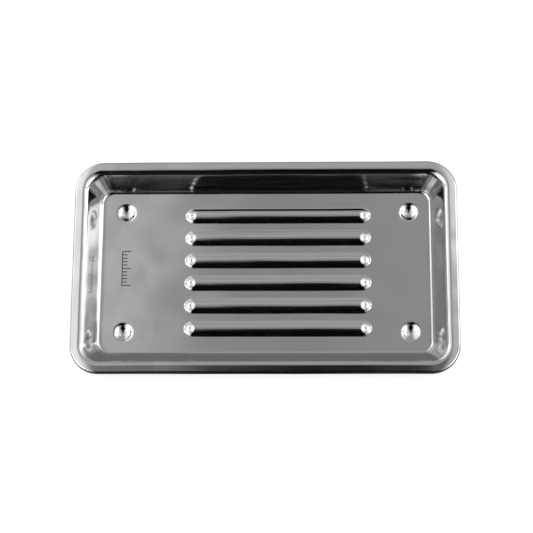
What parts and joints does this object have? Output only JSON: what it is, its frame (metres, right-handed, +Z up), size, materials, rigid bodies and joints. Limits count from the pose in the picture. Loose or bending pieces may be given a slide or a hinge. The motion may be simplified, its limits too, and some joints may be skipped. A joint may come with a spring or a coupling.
{
  "type": "ribbed instrument tray",
  "caption": "Shallow rectangular pressed steel tray with a sloped rim, raised parallel ribs across the middle of the floor and dished feet in the corners.",
  "frame": {"origin": "middle of the tray's outline, on the plane that the four feet stand on", "axes": "+Z up, +X along the tray's length towards the end that the ribs are nearer to, +Y across its width, away from the viewer of the picture"},
  "size_m": [0.215, 0.1226, 0.0157],
  "materials": {
    "polished_steel": "polished stainless steel with fine rolling and handling marks",
    "black_ink": "thin matt printed ink"
  },
  "bodies": {
    "root": {"tray_pan": "polished_steel", "printed_scale": "black_ink"}
  },
  "joints": []
}
